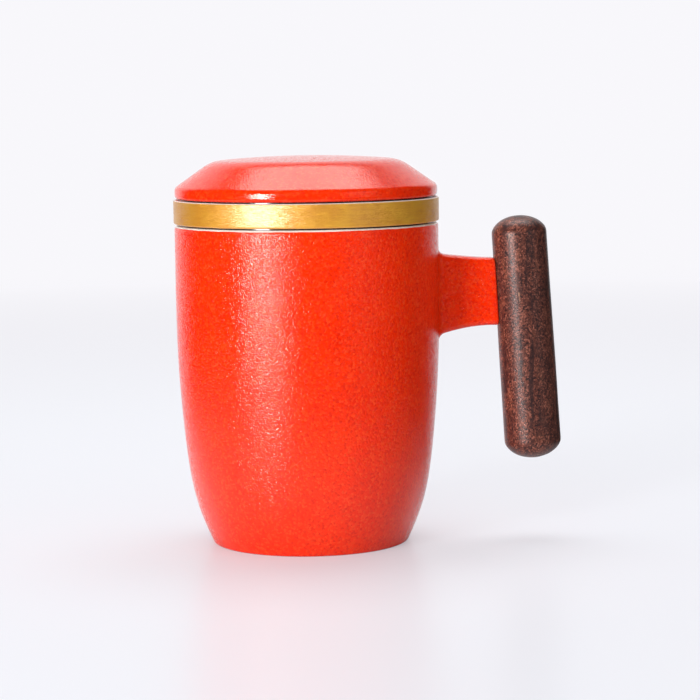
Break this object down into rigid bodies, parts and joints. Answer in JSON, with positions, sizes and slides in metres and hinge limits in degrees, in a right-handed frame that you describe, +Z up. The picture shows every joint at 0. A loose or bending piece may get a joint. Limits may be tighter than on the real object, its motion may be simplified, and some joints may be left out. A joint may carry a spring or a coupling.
{
  "type": "lidded tea mug with infuser",
  "caption": "Ceramic tea mug with a lift-out ceramic infuser, a loose bevelled lid, a satin gold collar and a round wooden grip on a short ceramic arm.",
  "frame": {"origin": "on the mug's axis, at the plane of the foot ring that it stands on", "axes": "+Z up along the mug's axis, +X from the mug towards its grip, +Y across the grip"},
  "size_m": [0.126, 0.0864, 0.1266],
  "materials": {
    "red_glaze": "pebbled satin glaze outside, gloss white inside",
    "arm_glaze": "pebbled satin glaze",
    "grip_wood": "satin oiled hardwood",
    "epoxy": "cured adhesive",
    "infuser_glaze": "gloss white glaze",
    "gold": "satin gold, finely brushed round the band",
    "lid_glaze": "pebbled satin glaze outside, gloss white underneath"
  },
  "bodies": {
    "mug": {"mug_body": "red_glaze", "handle_arm": "arm_glaze", "wood_grip": "grip_wood", "grip_adhesive": "epoxy"},
    "infuser": {"infuser_basket": "infuser_glaze", "gold_band": "gold"},
    "lid": {"lid": "lid_glaze"}
  },
  "joints": [
    {"name": "infuser_lift", "type": "slide", "parent": "mug", "child": "infuser", "axis": [0, 0, 1], "range_m": [0, 0.08]},
    {"name": "lid_lift", "type": "slide", "parent": "infuser", "child": "lid", "axis": [0, 0, 1], "range_m": [0, 0.05]}
  ]
}
